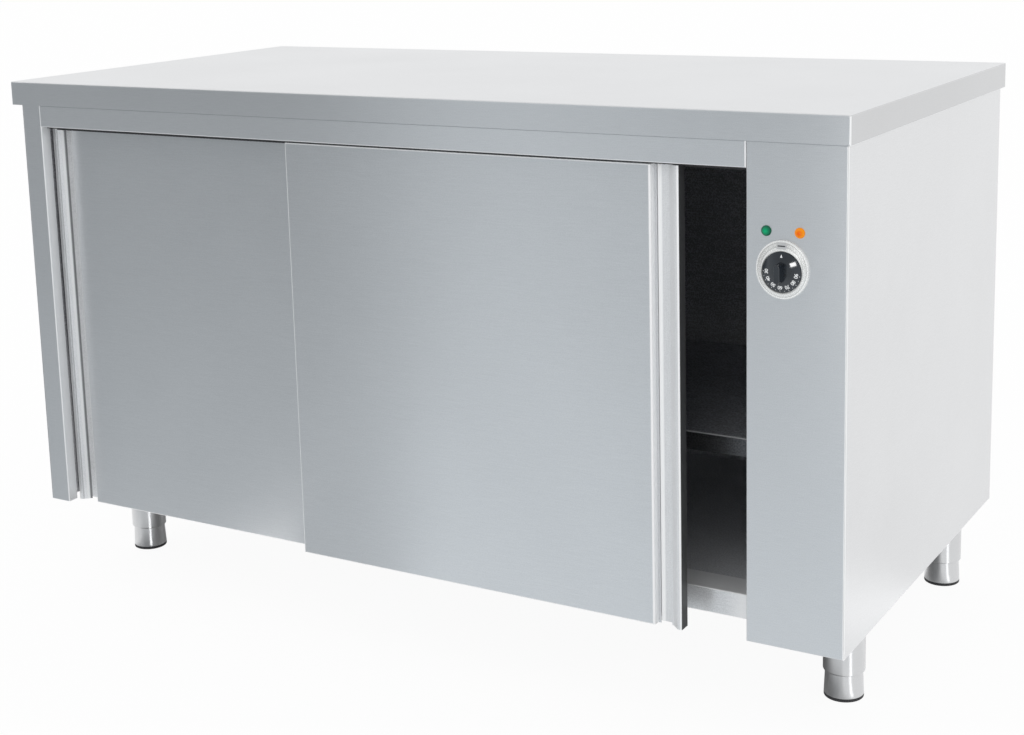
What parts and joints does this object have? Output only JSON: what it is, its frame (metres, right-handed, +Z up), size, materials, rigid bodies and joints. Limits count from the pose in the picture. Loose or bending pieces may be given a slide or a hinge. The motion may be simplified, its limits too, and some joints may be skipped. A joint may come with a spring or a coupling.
{
  "type": "plate warmer cabinet",
  "caption": "Free-standing stainless-steel heated cupboard with a worktop, sliding doors, a shelf, a thermostat dial with pilot lamps and adjustable feet.",
  "frame": {"origin": "on the floor, under the middle of the worktop", "axes": "+X to the right along the doors, +Y to the back, +Z up"},
  "size_m": [1.4, 0.7305, 0.83],
  "materials": {
    "worktop_steel": "bright brushed stainless",
    "body_steel": "fine satin stainless",
    "door_steel": "fine satin stainless",
    "foot_steel": "turned stainless",
    "inner_steel": "plain rolled sheet",
    "liner_steel": "plain sheet, dark in the shade",
    "shelf_steel": "plain rolled sheet",
    "mineral_wool": "loose yellow fibre",
    "black_rubber": "matt",
    "bezel_metal": "satin silver",
    "knob_plastic": "glossy blue-black",
    "shaft_steel": "turned",
    "black_plastic": "moulded",
    "copper_bulb": "drawn tube",
    "green_lens": "tinted, clear",
    "orange_lens": "tinted, clear",
    "motor_paint": "black enamel",
    "impeller_metal": "pressed",
    "guard_chrome": "plated wire",
    "heater_steel": "oxidised tube",
    "nylon": "moulded",
    "terminal_ceramic": "unglazed",
    "screw_steel": "turned"
  },
  "bodies": {
    "root": {"worktop": "worktop_steel", "worktop_stiffeners": "inner_steel", "side_panel_left": "body_steel", "side_panel_right": "body_steel", "front_post": "body_steel", "front_rail": "body_steel", "control_panel": "body_steel", "back_panel": "inner_steel", "bottom_panel": "inner_steel", "sill_rail": "body_steel", "floor_beams": "inner_steel", "liner_left": "liner_steel", "partition": "liner_steel", "liner_back": "liner_steel", "liner_top": "liner_steel", "liner_floor": "liner_steel", "insulation": "mineral_wool", "shelf": "shelf_steel", "shelf_brackets": "shelf_steel", "door_track": "inner_steel", "door_guide": "inner_steel", "door_stops": "black_rubber", "foot_plates": "inner_steel", "foot_tubes": "foot_steel", "dial_bezel": "bezel_metal", "thermostat": "black_plastic", "thermostat_bulb": "copper_bulb", "lamp_green": "green_lens", "lamp_orange": "orange_lens", "fan_housing": "inner_steel", "fan_motor": "motor_paint", "fan_guard": "guard_chrome", "heater_element": "heater_steel", "cable_gland": "black_plastic", "terminal_block": "terminal_ceramic", "back_screws": "screw_steel"},
    "door_left": {"door_left_skin": "door_steel", "door_left_grip": "door_steel", "door_left_liner": "inner_steel", "door_left_hangers": "inner_steel"},
    "roller_left_outer": {"roller_left_outer": "nylon"},
    "roller_left_inner": {"roller_left_inner": "nylon"},
    "door_right": {"door_right_skin": "door_steel", "door_right_grip": "door_steel", "door_right_liner": "inner_steel", "door_right_hangers": "inner_steel"},
    "roller_right_outer": {"roller_right_outer": "nylon"},
    "roller_right_inner": {"roller_right_inner": "nylon"},
    "foot_front_left": {"foot_insert_front_left": "foot_steel", "foot_pad_front_left": "black_rubber"},
    "foot_front_right": {"foot_insert_front_right": "foot_steel", "foot_pad_front_right": "black_rubber"},
    "foot_back_left": {"foot_insert_back_left": "foot_steel", "foot_pad_back_left": "black_rubber"},
    "foot_back_right": {"foot_insert_back_right": "foot_steel", "foot_pad_back_right": "black_rubber"},
    "dial": {"dial_knob": "knob_plastic", "dial_spindle": "shaft_steel"},
    "fan_rotor": {"fan_shaft": "shaft_steel", "fan_impeller": "impeller_metal"}
  },
  "joints": [
    {"name": "door_left_slide", "type": "slide", "parent": "root", "child": "door_left", "axis": [1, 0, 0], "range_m": [0, 0.57335]},
    {"name": "door_right_slide", "type": "slide", "parent": "root", "child": "door_right", "axis": [1, 0, 0], "range_m": [-0.47435, 0.0937]},
    {"name": "roller_left_outer_turn", "type": "hinge", "parent": "door_left", "child": "roller_left_outer", "pos_m": [-0.584, -0.299, 0.775], "axis": [0, 1, 0], "range_deg": [0, 3652.1]},
    {"name": "roller_left_inner_turn", "type": "hinge", "parent": "door_left", "child": "roller_left_inner", "pos_m": [-0.09365, -0.299, 0.775], "axis": [0, 1, 0], "range_deg": [0, 3652.1]},
    {"name": "roller_right_outer_turn", "type": "hinge", "parent": "door_right", "child": "roller_right_outer", "pos_m": [0.398, -0.325, 0.775], "axis": [0, 1, 0], "range_deg": [-3021.8, 598.5]},
    {"name": "roller_right_inner_turn", "type": "hinge", "parent": "door_right", "child": "roller_right_inner", "pos_m": [-0.09235, -0.325, 0.775], "axis": [0, 1, 0], "range_deg": [-3021.8, 598.5]},
    {"name": "foot_front_left_adjust", "type": "slide", "parent": "root", "child": "foot_front_left", "axis": [0, 0, -1], "range_m": [0, 0.03]},
    {"name": "foot_front_right_adjust", "type": "slide", "parent": "root", "child": "foot_front_right", "axis": [0, 0, -1], "range_m": [0, 0.03]},
    {"name": "foot_back_left_adjust", "type": "slide", "parent": "root", "child": "foot_back_left", "axis": [0, 0, -1], "range_m": [0, 0.03]},
    {"name": "foot_back_right_adjust", "type": "slide", "parent": "root", "child": "foot_back_right", "axis": [0, 0, -1], "range_m": [0, 0.03]},
    {"name": "dial_turn", "type": "hinge", "parent": "root", "child": "dial", "pos_m": [0.614, -0.349, 0.632], "axis": [0, 1, 0], "range_deg": [0, 270]},
    {"name": "fan_spin", "type": "hinge", "parent": "root", "child": "fan_rotor", "pos_m": [0.597, 0.111, 0.56], "axis": [1, 0, 0], "continuous": true}
  ],
  "couplings": [
    {"joint": "roller_left_outer_turn", "follows": "door_left_slide", "rad_per_m": 111.11},
    {"joint": "roller_left_inner_turn", "follows": "door_left_slide", "rad_per_m": 111.11},
    {"joint": "roller_right_outer_turn", "follows": "door_right_slide", "rad_per_m": 111.11},
    {"joint": "roller_right_inner_turn", "follows": "door_right_slide", "rad_per_m": 111.11}
  ]
}
